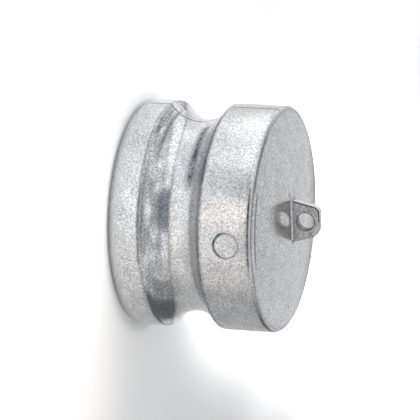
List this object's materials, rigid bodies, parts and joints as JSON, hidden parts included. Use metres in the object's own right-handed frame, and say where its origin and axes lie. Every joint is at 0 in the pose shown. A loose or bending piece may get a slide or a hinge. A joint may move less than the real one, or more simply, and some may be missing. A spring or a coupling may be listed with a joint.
{
  "type": "cam and groove dust plug",
  "caption": "Hollow cast aluminium plug with a round cam groove, a crowned closed end and a small eye for a tether.",
  "frame": {"origin": "centre of the open nose face, on which the plug stands", "axes": "+Z along the plug from the nose to the closed end; the eye's plate lies in the XZ plane and its hole runs along Y; -Y is the side of the round ejector pad"},
  "size_m": [0.063, 0.0633, 0.0515],
  "materials": {
    "cast_aluminium": "fine-grained as-cast and tumbled aluminium, satin, with darker speckle"
  },
  "bodies": {
    "root": {"dust_plug": "cast_aluminium"}
  },
  "joints": []
}
